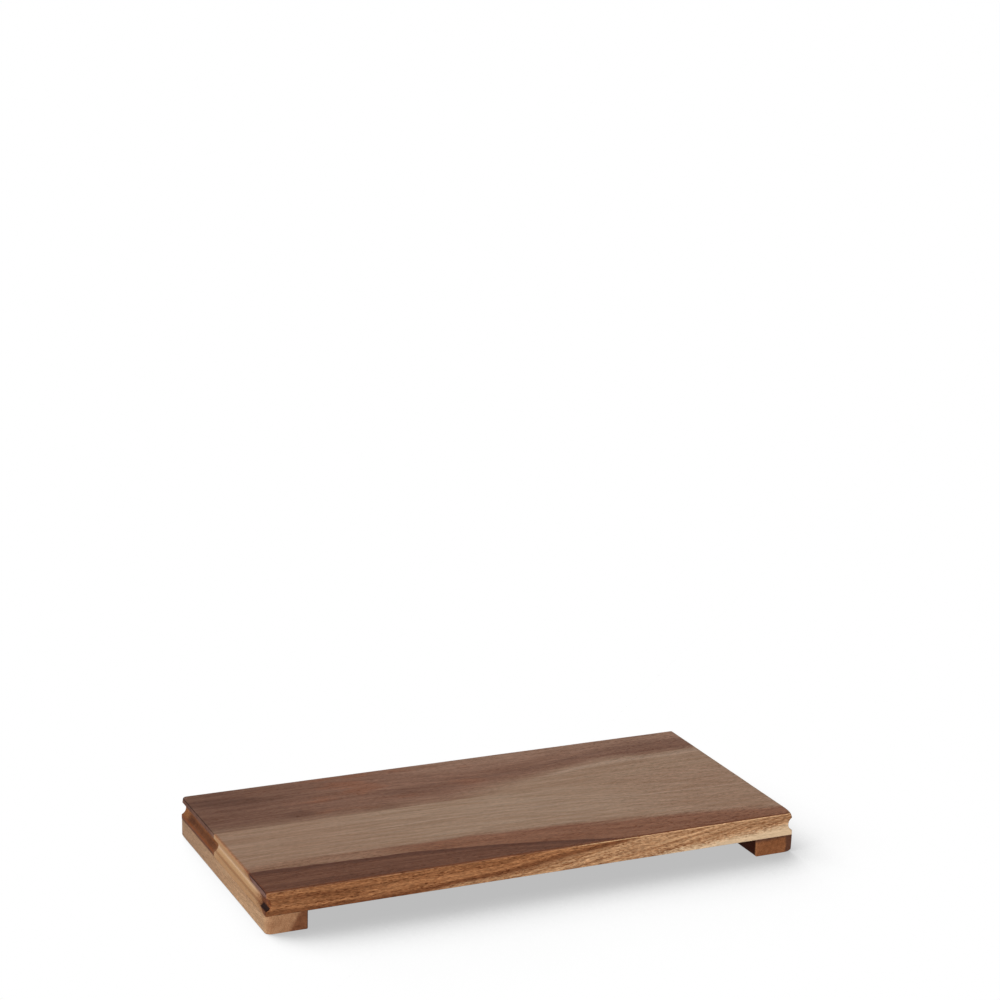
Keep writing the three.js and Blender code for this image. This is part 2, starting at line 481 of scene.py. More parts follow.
@dataclass(frozen=True)
class FrontEnds:
    """Colours on the front stave's ends and edges, with painted highlights and shadows among them.

    The lips are duller than the groove. The groove has a painted highlight where it is deepest, painted
    shade below that with browner wood towards the front, and painted shade under its upper lip. A line
    just inside the lower lip is darker. The dark wood on the floor of the left groove has a painted
    black shadow, and the same black lies on the edge over it. The top edge is warmer at the left end
    and has a painted highlight along the front, with a dark line behind it. Heights are over the table,
    and depths under the top.
    """

    lip: Stain = Stain(Tint(232, 216, 212), blend=Blend.TIMES)
    # Painted highlight where the groove is deepest.
    painted_highlight: Stain = Stain(Tint(242, 223, 210), 0.65)
    painted_highlight_heights: Step = (20.0, 22.6)
    painted_highlight_from: Step = (-88.0, -64.0)
    # Painted shade low in the groove, and browner wood towards the front.
    brown: Stain = Stain(Tint(237, 220, 217), blend=Blend.TIMES)
    groove_shade_heights: Step = (20.5, 23.0)
    brown_from: Step = (-86.0, -60.0)
    groove_low_shade: float = 0.5
    # Painted shade under the groove's upper lip.
    painted_shade_under_lip: Stain = Stain(Tint(216, 204, 201), blend=Blend.TIMES)
    painted_shade_under_lip_heights: Step = (22.0, 22.9)
    # A darker line just inside the lower lip.
    lip_line: Stain = Stain(Tint(206, 173, 153), blend=Blend.TIMES)
    lip_line_heights: Band = (17.9, 18.2, 18.7, 19.3)
    dark_from: Step = (0.0, 4.0)
    dark_lip: Stain = Stain(Tint(127, 102, 107), 0.8)
    dark_lip_heights: Step = (26.0, 28.0)
    # Painted black shadow on the floor of the left groove, and the same black on the edge over it.
    shadow_and_edge_black: Stain = Stain(Tint(36, 9, 1))
    black_shadow_heights: Band = (17.4, 18.1, 19.9, 20.9)
    black_shadow_to: Step = (-88.5, -85.0)
    black_shadow_end: Step = (-200.0, 0.0)
    black_shadow_turn: Step = (0.15, 0.35)
    rim: Stain = Stain(Tint(255, 224, 200), 0.75, Blend.TIMES)
    rim_to: Step = (-213.6, -212.6)
    rim_depths: Step = (0.1, 0.5)
    # Painted highlight along the front top edge, patchy and stronger to the right.
    painted_edge_highlight: Stain = Stain(Tint(250, 208, 158))
    painted_edge_highlight_depths: Band = (0.03, 0.14, 0.5, 0.75)
    painted_edge_highlight_turn: Step = (0.15, 0.45)
    painted_edge_highlight_from: Step = (0.0, 70.0)
    painted_edge_highlight_least: float = 0.1
    painted_edge_highlight_gain: float = 0.7
    patch_steps: Step = (0.4, 0.6)
    patch_share: float = 0.6
    edge: Stain = Stain(Tint(138, 78, 42), 0.85)
    edge_to: Step = (-98.9, -96.2)
    edge_depths: Step = (0.06, 0.2)

    def marks(self, grain: Grain, vein: Wire) -> Sequence[tuple[Stain, Wire]]:
        """The marks, in the order in which they go onto the wood.

        Args:
            grain: coordinates along the grain.
            vein: millimetres in front of the vein.

        Returns:
            Each mark's stain and mask.
        """
        height, across, depth, end = grain.height, grain.across, grain.under_top, grain.end
        hollow = grain.hollow()
        # Painted shade grows towards the bottom of the groove.
        lower = 1.0 + self.groove_low_shade - height.rise(*self.groove_shade_heights) * self.groove_low_shade
        dark = vein.rise(*self.dark_from)
        upper_lip = (end - hollow) * height.rise(*self.dark_lip_heights)
        at_left = grain.along.fall(*self.black_shadow_end)
        # Where the black shadow is painted on the groove's floor.
        black_shadow = height.band(*self.black_shadow_heights) * across.fall(*self.black_shadow_to) * at_left
        patches = (1.0 - self.patch_share) + grain.clouds.rise(*self.patch_steps) * self.patch_share
        # Where the edge highlight is painted: patchy, and stronger to the right.
        rubbed = (self.painted_edge_highlight_least + grain.along.rise(*self.painted_edge_highlight_from) * self.painted_edge_highlight_gain) * patches
        return (
            (self.lip, end * (1.0 - hollow)),
            # Painted highlight where the groove is deepest.
            (self.painted_highlight, hollow * height.rise(*self.painted_highlight_heights) * across.rise(*self.painted_highlight_from)),
            # Painted shade low in the groove, browner wood towards the front.
            (self.brown, hollow * (lower - across.rise(*self.brown_from))),
            # Painted shade under the groove's upper lip.
            (self.painted_shade_under_lip, hollow * height.rise(*self.painted_shade_under_lip_heights)),
            # A darker line just inside the lower lip.
            (self.lip_line, end * height.band(*self.lip_line_heights)),
            (self.dark_lip, upper_lip * dark),
            # Painted black shadow on the groove's floor.
            (self.shadow_and_edge_black, end.rise(*self.black_shadow_turn) * black_shadow),
            # The same black on the top edge over the dark wood.
            (self.shadow_and_edge_black, grain.arris() * dark),
            (self.rim, grain.x.fall(*self.rim_to) * depth.fall(*self.rim_depths)),
            # Painted highlight along the front top edge.
            (self.painted_edge_highlight, depth.band(*self.painted_edge_highlight_depths) * end.fall(*self.painted_edge_highlight_turn) * rubbed),
            (self.edge, grain.y.fall(*self.edge_to) * depth.fall(*self.edge_depths)),
        )


@dataclass(frozen=True)
class FrontStaveFigure(Figure):
    """Sapwood with heartwood along the front edge, and a dark vein in the heartwood.

    Below the top they are browner and more flecked, and the vein is fainter.
    """

    sap: RingedWood = RingedWood(Tint(223, 189, 161), Tint(202, 163, 134))
    sap_ends: Stain = Stain(Tint(249, 243, 241), blend=Blend.TIMES)
    sap_middle: Band = (-150.0, -40.0, 50.0, 170.0)
    low_sap: Stain = Stain(Tint(211, 182, 148))
    middle: RingedWood = RingedWood(Tint(186, 131, 101), Tint(166, 111, 83))
    low_middle: RingedWood = RingedWood(Tint(198, 156, 117), Tint(139, 94, 61))
    dark: RingedWood = RingedWood(Tint(152, 102, 76), Tint(124, 78, 57))
    low_dark: RingedWood = RingedWood(Tint(174, 121, 81), Tint(126, 80, 49))
    ring_size: tuple[float, float, float] = (120.0, 2.4, 3.0)
    band_size: tuple[float, float, float] = (70.0, 4.5, 3.0)
    band_share: float = 0.6
    mottle_size: tuple[float, float, float] = (2.6, 1.0, 1.0)
    mottle_share: float = 1.2
    mottle_reach: float = 14.0
    heart: GrowthEdge = GrowthEdge(
        place=-51.0, shift=-30.0, start=-60.0, reach=274.0, bend=1.6, lean=2.0
    )
    heart_blur: float = 5.0
    heart_pores: float = 0.6
    low_pores: float = 0.4
    pores_from: Step = (-6.0, 4.0)
    red_from: Step = (-150.0, -60.0)
    red_least: float = 0.5
    line: GrowthEdge = GrowthEdge(
        place=-15.0, shift=-13.0, start=-60.0, reach=274.0, bend=1.3, lean=1.0
    )
    line_stain: Stain = Stain(Tint(232, 200, 174), 0.6)
    line_fray: float = 0.15
    line_width: Band = (-1.6, 0.0, 0.0, 1.2)
    line_from: Step = (-115.0, -70.0)
    vein: GrowthEdge = GrowthEdge(
        place=-63.0, shift=-82.0, start=-214.0, reach=430.0, bend=2.23, lean=1.95
    )
    vein_tint: Tint = Tint(106, 63, 45)
    vein_fray: float = 0.35
    vein_blur: float = 1.2
    vein_full: float = 0.8
    vein_ebb: Step = (2.5, 8.0)
    vein_strength: float = 0.75
    low_vein_tint: Tint = Tint(104, 61, 36)
    low_vein_start: float = 3.4
    low_dark_start: float = 3.0
    spread: float = 3.0
    spread_to: Step = (-140.0, -70.0)
    streak_width: Band = (19.5, 23.5, 25.5, 30.0)
    streak_to: Step = (-115.0, -75.0)
    streak_strength: float = 0.45
    ends: FrontEnds = FrontEnds()

    def draw(self, grain: Grain) -> WoodColour:
        """Sapwood, reddish wood from the heart's edge on, and dark wood beyond the vein."""
        graph = grain.graph
        heart = self.heart.beyond(grain) + grain.ragged
        vein = self.vein.beyond(grain) + grain.ragged * self.vein_fray
        line = self.line.beyond(grain) + grain.ragged * self.line_fray
        below = grain.height.fall(*grain.EDGE_HEIGHTS)
        bands = grain.layers(vein, *self.band_size).rise(*self.RING_STEPS)
        mottle = grain.noise(*self.mottle_size) - 0.5
        shade = self.ringed(grain, vein, self.ring_size)
        low_shade = bands * self.band_share + shade * (1.0 - self.band_share)
        shade = shade + (low_shade - shade + mottle * self.mottle_share) * below
        sap = self.sap.draw(grain, shade)
        sap = stained(grain, sap, (
            (self.sap_ends, 1.0 - grain.along.band(*self.sap_middle)),
            (self.low_sap, below),
            (self.line_stain, line.band(*self.line_width) * grain.along.rise(*self.line_from)),
        ))
        middle = graph.mix(below, self.middle.draw(grain, shade), self.low_middle.draw(grain, shade))
        dark = graph.mix(below, self.dark.draw(grain, shade), self.low_dark.draw(grain, shade))
        reddening = self.red_least + grain.along.rise(*self.red_from) * (1.0 - self.red_least)
        inside = (heart + mottle * below * self.mottle_reach).rise(-self.heart_blur, self.heart_blur)
        wood = graph.mix(inside * reddening, sap, middle)
        start = -self.vein_blur - below * self.low_dark_start
        wood = graph.mix(vein.rise(start, self.vein_blur + below), wood, dark)
        wood = self.draw_vein(grain, wood, vein, below)
        wood = stained(grain, wood, self.ends.marks(grain, vein))
        at_right = grain.along.rise(*self.RIGHT_PORES_FROM)
        porous = self.PORES + at_right * (self.RIGHT_PORES - below * self.RIGHT_PORES)
        in_heart = heart.rise(*self.pores_from) * (self.heart_pores + below * self.low_pores)
        return WoodColour(wood, porous + in_heart)

    def draw_vein(
        self, grain: Grain, wood: bpy.types.NodeSocket, vein: Wire, below: Wire
    ) -> bpy.types.NodeSocket:
        """The vein, broader below the top at the left, and a streak in front of it there.

        Args:
            grain: coordinates along the grain.
            wood: the colour of the wood.
            vein: millimetres in front of the vein.
            below: 1 under the top, 0 on it.

        Returns:
            The colour with the vein.
        """
        graph = grain.graph
        tint = graph.mix(below, self.vein_tint, self.low_vein_tint)
        spread = grain.along.fall(*self.spread_to) * below * self.spread
        after = vein.rise(*(spread + place for place in self.vein_ebb))
        on_vein = vein.rise(-self.vein_blur - below * self.low_vein_start, self.vein_full)
        wood = graph.mix(on_vein * (1.0 - after) * self.vein_strength, wood, tint)
        streak = vein.band(*self.streak_width) * grain.along.fall(*self.streak_to)
        return graph.mix(streak * below * self.streak_strength, wood, tint)


@dataclass(frozen=True)
class BackStaveFigure(Figure):
    """Heartwood with a wedge of sapwood that opens from the glue line towards the right.

    The heartwood is dark at the left and lighter to the right and back. Its groove is yellower,
    its lower lip and foot are brown, and the edge over them is dark.
    """

    sap: RingedWood = RingedWood(Tint(216, 180, 151), Tint(196, 155, 127))
    left: Tint = Tint(158, 114, 92)
    middle: Tint = Tint(185, 138, 114)
    middle_from: Step = (-225.0, -30.0)
    far: Stain = Stain(Tint(206, 162, 137))
    far_from: Step = (-80.0, 20.0)
    far_behind: Step = (60.0, 96.0)
    shade: Stain = Stain(Tint(224, 216, 210), blend=Blend.TIMES)
    ring_size: tuple[float, float, float] = (110.0, 3.0, 3.0)
    left_to: Step = (-20.0, 60.0)
    red: Stain = Stain(Tint(190, 130, 100), 0.8)
    red_from: Step = (-190.0, -130.0)
    red_clouds: Step = (0.53, 0.68)
    smoke: Stain = Stain(Tint(213, 204, 199), blend=Blend.TIMES)
    wisp_clouds: Step = (0.3, 0.46)
    wisp_strength: float = 0.5
    smudges: tuple[Smudge, ...] = (
        Smudge(-188.0, 76.0, 48.0, 13.0, 1.0, -0.15),
        Smudge(-176.0, 59.0, 34.0, 4.0, 0.5),
        Smudge(-141.0, 33.0, 17.0, 9.0, 0.8),
        Smudge(-78.0, 23.0, 22.0, 6.0, 0.6),
        Smudge(-35.0, 47.0, 52.0, 13.0, 0.6),
        Smudge(45.0, 57.0, 40.0, 8.0, 0.5, 0.12),
        Smudge(180.0, 73.0, 70.0, 19.0, 0.65),
    )
    lean: float = 0.6
    wedge_foot: float = 17.0
    wedge_height: float = 40.0
    wedge_start: float = -19.0
    wedge_reach: float = 150.0
    wedge_bend: float = 1.5
    wedge_blur: float = 20.0
    blur_loss: float = 12.0
    blur_from: Step = (-10.0, 110.0)
    line: Stain = Stain(Tint(234, 202, 176), 0.7)
    line_width: Band = (-9.0, -5.5, -5.0, -1.5)
    line_from: Step = (50.0, 90.0)
    vein_stain: Stain = Stain(Tint(164, 121, 99))
    vein_low: float = 52.0
    vein_turn: float = 32.0
    vein_slope: float = 0.21
    vein_round: float = 18.0
    vein_ends: Step = (-75.0, 150.0)
    vein_fray: float = 0.5
    vein_width: Band = (-3.5, 0.3, 0.8, 6.0)
    vein_from: Step = (-45.0, 15.0)
    vein_to: Step = (110.0, 190.0)
    vein_loss: float = 0.8
    groove: Stain = Stain(Tint(242, 212, 140), blend=Blend.TIMES)
    # Painted highlight where the groove is deepest.
    painted_highlight: Stain = Stain(Tint(205, 138, 76), 0.6)
    painted_highlight_heights: Step = (20.5, 22.8)
    bright: Stain = Stain(Tint(226, 160, 98), 0.7)
    bright_behind: Step = (82.0, 94.0)
    low_lip: Stain = Stain(Tint(181, 101, 22), 0.9)
    low_lip_heights: Step = (18.0, 20.0)
    foot: Stain = Stain(Tint(138, 94, 66), 0.85)
    foot_heights: Step = (15.7, 16.7)
    rim: Stain = Stain(Tint(40, 22, 15))
    heart_pores: float = 0.4
    groove_pores: float = 0.8

    def wedge(self, grain: Grain) -> Wire:
        """Millimetres behind the wedge's edge, which rises fast at first and then levels out."""
        way = grain.along.share(self.wedge_start, self.wedge_start + self.wedge_reach)
        edge = self.wedge_foot + (1.0 - (1.0 - way) ** self.wedge_bend) * self.wedge_height
        return grain.across - edge + grain.sunk * self.lean

    def vein(self, grain: Grain) -> Wire:
        """Millimetres behind the vein, a hyperbola that is level past its ends."""
        first, last = self.vein_ends
        held = first + grain.along.share(first, last) * (last - first)
        aside = held - self.vein_turn
        edge = self.vein_low + (aside * aside + self.vein_round**2).root() * self.vein_slope
        return grain.across - edge + grain.sunk * self.lean

    def draw(self, grain: Grain) -> WoodColour:
        """The heartwood with its vein, then the sapwood wedge, then the ends."""
        height, end = grain.height, grain.end
        wedge = self.wedge(grain) + grain.ragged
        vein = self.vein(grain) + grain.ragged * self.vein_fray
        shade = self.ringed(grain, vein, self.ring_size)
        heart = self.draw_heart(grain, vein, shade)
        on_line = wedge.band(*self.line_width) * grain.along.rise(*self.line_from)
        sap = stained(grain, self.sap.draw(grain, shade), ((self.line, on_line),))
        blur = self.wedge_blur - grain.along.rise(*self.blur_from) * self.blur_loss
        inside = wedge.rise(0.0 - blur, blur)
        hollow = grain.hollow()
        wood = stained(grain, grain.graph.mix(inside, sap, heart), (
            (self.groove, hollow),
            # Painted highlight where the groove is deepest.
            (self.painted_highlight, hollow * height.rise(*self.painted_highlight_heights)),
            (self.bright, hollow * grain.across.rise(*self.bright_behind)),
            (self.low_lip, (end - hollow) * height.fall(*self.low_lip_heights) * inside),
            (self.foot, end * height.fall(*self.foot_heights) * inside),
            (self.rim, grain.arris() * inside),
        ))
        porous = self.PORES + grain.along.rise(*self.RIGHT_PORES_FROM) * self.RIGHT_PORES
        return WoodColour(wood, porous + inside * self.heart_pores + hollow * self.groove_pores)

    def draw_heart(self, grain: Grain, vein: Wire, shade: Wire) -> bpy.types.NodeSocket:
        """The heartwood's broad colours, red clouds, dark wisps and smudges, vein and rings.

        Args:
            grain: coordinates along the grain.
            vein: millimetres behind the vein.
            shade: where its rings are dark.

        Returns:
            Its colour.
        """
        along, clouds = grain.along, grain.clouds
        at_left = along.fall(*self.left_to)
        on_vein = vein.band(*self.vein_width) * along.rise(*self.vein_from)
        heart = grain.graph.mix(along.rise(*self.middle_from), self.left, self.middle)
        return stained(grain, heart, (
            (self.far, grain.across.rise(*self.far_behind) * along.rise(*self.far_from)),
            (self.red, clouds.rise(*self.red_clouds) * (at_left * along.rise(*self.red_from))),
            (self.smoke, clouds.fall(*self.wisp_clouds) * at_left * self.wisp_strength),
            *((self.smoke, smudge.shade(grain)) for smudge in self.smudges),
            (self.vein_stain, on_vein * (1.0 - along.rise(*self.vein_to) * self.vein_loss)),
            (self.shade, shade),
        ))


@dataclass(frozen=True)
class RailFigure(Figure):
    """Pale wood, greyer to the back, with dark wood in its section.

    The dark wood lies beyond a slanting line. Over a set height its colour is a painted shadow under
    the board, and the inner sides have a painted near-black shadow.
    """

    pale: RingedWood = RingedWood(Tint(200, 163, 127), Tint(180, 141, 107))
    back: Stain = Stain(Tint(168, 134, 106))
    back_from: Step = (-50.0, 90.0)
    dark: RingedWood = RingedWood(Tint(146, 103, 75), Tint(122, 82, 58))
    # Painted near-black shadow on the rails' inner sides, under the board.
    inner: Stain = Stain(Tint(48, 18, 6))
    inner_shadow_to: Step = (183.2, 183.9)
    edge: float = -197.6
    lean: float = 0.56
    # Over this height the dark colour is a painted shadow under the board.
    shadow_cap: float = 40.0
    blur: float = 2.0
    fray: float = 0.25
    streak_share: float = 0.6
    shade_steps: Step = (0.36, 0.64)
    porous: float = 0.6

    def draw(self, grain: Grain) -> WoodColour:
        """The line between the two woods is straight in the rail's end, and frays along it."""
        graph = grain.graph
        beyond = grain.across - self.edge - grain.up * self.lean
        # The dark colour also goes over the painted shadow's height.
        inside = graph.math("MAXIMUM", beyond, grain.up - self.shadow_cap) + grain.ragged * self.fray
        uneven = grain.streaks * self.streak_share + grain.clouds * (1.0 - self.streak_share)
        shade = uneven.rise(*self.shade_steps)
        to_back = grain.along.rise(*self.back_from)
        pale = stained(grain, self.pale.draw(grain, shade), ((self.back, to_back),))
        wood = graph.mix(inside.rise(-self.blur, self.blur), pale, self.dark.draw(grain, shade))
        # The inner sides, where the shadow is painted.
        inner = (1.0 - grain.end) * graph.math("ABSOLUTE", grain.x).fall(*self.inner_shadow_to)
        return WoodColour(stained(grain, wood, ((self.inner, inner),)), self.porous)


@dataclass(frozen=True)
class WoodFinish:
    """Oiled wood: its figure, and the fibres, pores and end grain that every figure has."""

    name: str
    figure: Figure
    axis: GrainAxis = GrainAxis.X
    seed: float = 0.0
    pore: Tint = Tint(164, 130, 106)
    end_grain: Tint = Tint(246, 234, 208)
    pore_size: tuple[float, float, float] = (4.0, 0.36, 1.0)
    pore_steps: Step = (0.54, 0.68)
    crowd_size: tuple[float, float] = (40.0, 5.0)
    crowd_steps: Step = (0.3, 0.6)
    fibre_contrast: float = 0.55
    fleck_contrast: float = 0.6
    open_contrast: float = 1.1
    specular: float = 0.07
    roughness: float = 0.55
    roughness_range: float = 0.14
    pore_roughness: float = 0.2
    relief: float = 0.06 * MM
    relief_strength: float = 0.35

    def build(self) -> bpy.types.Material:
        """Makes the material.

        Returns:
            A material whose colour, roughness and bump follow the wood's figure.
        """
        material, graph = new_material(self.name)
        grain = Grain(graph, self.axis, self.seed)
        pores = self.pores(grain)
        height = grain.fibres * 0.5 - pores
        relief = {"Strength": self.relief_strength, "Distance": self.relief, "Height": height}
        smoothest = self.roughness - self.roughness_range / 2
        graph.principled({
            "Base Color": self.colour(grain, pores),
            "Roughness": grain.streaks * self.roughness_range + smoothest + pores * self.pore_roughness,
            "Specular IOR Level": self.specular,
            "Normal": graph.node("Bump", None, relief).outputs["Normal"],
        })
        return material

    def pores(self, grain: Grain) -> Wire:
        """Open pores: short dark dashes along the grain, dots across it."""
        dashes = grain.noise(*self.pore_size).rise(*self.pore_steps)
        return dashes * grain.noise(*self.crowd_size).rise(*self.crowd_steps)

    def colour(self, grain: Grain, pores: Wire) -> bpy.types.NodeSocket:
        """The wood's colour, from its figure down to its pores.

        Args:
            grain: coordinates along the grain.
            pores: where pores are open.

        Returns:
            The colour's socket.
        """
        graph = grain.graph
        wood = self.figure.draw(grain)
        flecks = (grain.flecks - 0.5) * (self.fleck_contrast + wood.porous * self.open_contrast)
        brightness = 1.0 + (grain.fibres - 0.5) * self.fibre_contrast + flecks
        fibre = graph.node("HueSaturation", None, {"Color": wood.colour, "Value": brightness})
        open_wood = graph.mix(pores * wood.porous, fibre.outputs["Color"], self.pore, Blend.TIMES)
        return graph.mix(grain.end, open_wood, self.end_grain, Blend.TIMES)


@dataclass(frozen=True)
class SteelFinish:
    """Zinc-plated steel, a little uneven."""

    name: str = "screw_steel"
    tint: Tint = Tint(196, 194, 188)
    shade: Tint = Tint(150, 147, 140)
    patch_scale: float = 900.0
    patch_detail: float = 3.0
    patch_steps: Step = (0.35, 0.7)
    roughness: float = 0.26
    roughness_range: float = 0.2

    def build(self) -> bpy.types.Material:
        """Makes the material."""
        material, graph = new_material(self.name)
        place = graph.node("TexCoord").outputs["Object"]
        sockets = {"Vector": place, "Scale": self.patch_scale, "Detail": self.patch_detail}
        patch = Wire(graph, graph.node("TexNoise", None, sockets).outputs["Fac"])
        graph.principled({
            "Base Color": graph.mix(patch.rise(*self.patch_steps), self.tint, self.shade),
            "Metallic": 1.0,
            "Roughness": self.roughness + patch * self.roughness_range,
        })
        return material


# Surfaces


@dataclass
class Shell:
    """Points and faces of one closed piece, gathered patch by patch."""

    points: list[np.ndarray] = field(default_factory=list)
    faces: list[list[int]] = field(default_factory=list)
    count: int = 0

    def add_points(self, points: np.ndarray) -> np.ndarray:
        """Adds points and gives their numbers, in the array's own shape."""
        flat = points.reshape(-1, 3)
        numbers = np.arange(self.count, self.count + len(flat)).reshape(points.shape[:-1])
        self.points.append(flat)
        self.count += len(flat)
        return numbers

    def add_quads(self, numbers: np.ndarray, closed: bool) -> None:
        """Adds the quads of a grid of point numbers, joined up along its rows if closed."""
        grid = np.concatenate([numbers, numbers[:, :1]], axis=1) if closed else numbers
        corners = (grid[:-1, :-1], grid[:-1, 1:], grid[1:, 1:], grid[1:, :-1])
        self.faces.extend(np.stack(corners, axis=-1).reshape(-1, 4).tolist())

    def add_fan(self, ring: np.ndarray, pole: int) -> None:
        """Adds the triangles between a closed ring and a pole."""
        spokes = np.stack([ring, np.roll(ring, -1), np.full_like(ring, pole)], axis=-1)
        self.faces.extend(spokes.tolist())

    def add_face(self, *stretches: np.ndarray) -> None:
        """Adds one flat face from stretches of its rim."""
        self.faces.append(np.concatenate(stretches).tolist())

    def add_drilled_face(
        self, rim: np.ndarray, near: int, far: int, holes: Sequence[np.ndarray]
    ) -> None:
        """Adds a flat face with holes, as two faces that meet on a line through the holes.

        Args:
            rim: the point numbers of the closed rim.
            near: place in the rim where the line starts.
            far: place in the rim where the line ends, after near.
            holes: rings of point numbers in order along the line, each with an even count,
                starting from its point that faces the line's start and turning as the rim does.
        """
        one_side = [ring[len(ring) // 2 :: -1] for ring in reversed(holes)]
        other_side = [np.append(ring[:1], ring[: len(ring) // 2 - 1 : -1]) for ring in holes]
        self.add_face(rim[near : far + 1], *one_side)
        self.add_face(rim[far:], rim[: near + 1], *other_side)

    def finish(
        self, node: str, material: bpy.types.Material, axis: GrainAxis | None
    ) -> bpy.types.Object:
        """Makes the object.

        Args:
            node: the frame node that it dresses.
            material: its finish.
            axis: the grain's axis, for the share of end grain at each point.

        Returns:
            The object, with faces outwards and smooth up to the sharp angle.
        """
        name = f"{node}_visual"
        mesh = bpy.data.meshes.new(name)
        mesh.from_pydata(np.concatenate(self.points), [], self.faces)
        shell = bmesh.new()
        shell.from_mesh(mesh)
        bmesh.ops.remove_doubles(shell, verts=shell.verts, dist=MERGE_DISTANCE)
        bmesh.ops.recalc_face_normals(shell, faces=shell.faces)
        shell.to_mesh(mesh)
        shell.free()
        mesh.shade_smooth()
        mesh.set_sharp_from_angle(angle=SHARP_ANGLE)
        if axis is not None:
            normals = np.zeros(3 * len(mesh.vertices))
            mesh.vertices.foreach_get("normal", normals)
            share = np.abs(normals.reshape(-1, 3) @ np.array(axis.value))
            mesh.attributes.new(END_GRAIN, "FLOAT", "POINT").data.foreach_set("value", share)
        mesh.materials.append(material)
        piece = bpy.data.objects.new(name, mesh)
        bpy.context.scene.collection.objects.link(piece)
        return piece


@dataclass(frozen=True)
class Outline:
    """A path in plan: its points and the directions that face out of the piece there."""

    points: np.ndarray
    normals: np.ndarray

    @property
    def lengths(self) -> np.ndarray:
        """The length of the path up to each point."""
        steps = np.linalg.norm(np.diff(self.points, axis=0), axis=1)
        return np.concatenate([[0.0], np.cumsum(steps)])

    @classmethod
    def run(cls, start: tuple[float, float], end: tuple[float, float], shares: np.ndarray) -> "Outline":
        """A straight run through shares of the way from start to end, facing its right hand."""
        first, last = np.array(start), np.array(end)
        along = (last - first) / np.linalg.norm(last - first)
        points = first + shares[:, None] * (last - first)
        return cls(points, np.tile([along[1], -along[0]], (len(shares), 1)))

    @classmethod
    def turn(cls, centre: tuple[float, float], radius: float, start: float, count: int) -> "Outline":
        """A quarter turn to the left about a centre, from a start angle in quarter turns."""
        angles = (start + np.linspace(0, 1, count)) * math.pi / 2
        normals = np.stack([np.cos(angles), np.sin(angles)], axis=-1)
        return cls(np.array(centre) + radius * normals, normals)

    @classmethod
    def chain(cls, parts: Sequence["Outline"]) -> "Outline":
        """Parts end to end, with the points that they share kept once."""
        points = np.concatenate([part.points for part in parts])
        normals = np.concatenate([part.normals for part in parts])
        fresh = np.linalg.norm(np.diff(points, axis=0), axis=1) > SAME_POINT
        keep = np.concatenate([[True], fresh])
        return cls(points[keep], normals[keep])

    def nearest(self, x: float, y: float) -> int:
        """The number of the point nearest to a place."""
        return int(np.argmin(np.hypot(self.points[:, 0] - x, self.points[:, 1] - y)))


def spread(length: float, step: float, through: Sequence[float] = ()) -> np.ndarray:
    """Shares from 0 to 1 at about a step apart, with some exact lengths among them."""
    even = np.linspace(0, 1, max(2, round(length / step) + 1))
    return np.unique(np.concatenate([even, np.array(through) / length]))


def worn(path: Outline, amount: float, calm: float = 10.0 * MM) -> np.ndarray:
    """The radius of an edge worn by sanding by hand, along its path, as a share of its plain radius.

    It is 1 plus two slow sine waves, which die out towards the corners of the path's box, so
    that rings drawn in from the path close there.

    Args:
        path: the edge's path.
        amount: the height of the waves.
        calm: the distance from a corner up to which there are no waves.

    Returns:
        The share at each point of the path.
    """
    low, high = path.points.min(axis=0), path.points.max(axis=0)
    from_corner = np.linalg.norm(np.minimum(path.points - low, high - path.points), axis=1)
    fade = np.clip(from_corner / calm - 1, 0, 1)
    waves = [share * np.sin(path.lengths / length + phase) for share, length, phase in WEAR_WAVES]
    return 1 + amount * fade * sum(waves)


def round_over(count: int) -> tuple[np.ndarray, np.ndarray]:
    """A quarter round of radius 1 from a flat face to a side.

    Args:
        count: the number of points.

    Returns:
        How far each point lies in from the side, and how far from the flat face.
    """
    angles = np.linspace(0, math.pi / 2, count)
    return 1 - np.sin(angles), 1 - np.cos(angles)


def turned(centre: tuple[float, float], profile: np.ndarray, angles: np.ndarray) -> np.ndarray:
    """A profile of radius and height carried round an upright axis: rows of level circles."""
    radius, height = profile[:, :1], profile[:, 1:]
    x = centre[0] + radius * np.cos(angles)
    y = centre[1] + radius * np.sin(angles)
    return np.stack([x, y, np.broadcast_to(height, x.shape)], axis=-1)


def rim_of(grid: np.ndarray) -> np.ndarray:
    """What stands on the rim of a square grid, once round from its first row."""
    return np.concatenate([grid[0, :-1], grid[:-1, -1], grid[-1, :0:-1], grid[:0:-1, 0]])


def box_of(node: str) -> tuple[np.ndarray, np.ndarray]:
    """The low and high corners of a frame node."""
    low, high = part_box(node)
    return np.array(low), np.array(high)


# Pieces


@dataclass(frozen=True)
class ScrewSizes:
    """A countersunk wood screw and the hole that it sits in."""

    body: float = 2.0 * MM
    core: float = 1.35 * MM
    head: float = 4.0 * MM
    head_edge: float = 0.15 * MM
    head_edge_share: float = 0.3
    head_rim: float = 0.4 * MM
    head_cone: float = 2.0 * MM
    point: float = 4.0 * MM
    pitch: float = 1.8 * MM
    ridge_share: float = 0.28
    thread_step: float = 0.1 * MM
    point_gap: float = 0.15 * MM
    recess: float = 1.0 * MM
    clearance: float = 0.3 * MM
    cross_reach: float = 2.3 * MM
    cross_slot: float = 0.5 * MM
    cross_depth: float = 1.8 * MM
    cross_foot: float = 1.0 * MM
    cross_wall: float = 0.1 * MM
    cross_margin: float = 0.3 * MM
    cross_lines: tuple[float, float] = (0.9 * MM, 1.8 * MM)
    mouth_ease: float = 0.25 * MM

    def hole_angles(self, start: float, count: int = 48) -> np.ndarray:
        """Angles round a hole from a start angle, turning left."""
        return start + np.arange(count) * (2 * math.pi / count)


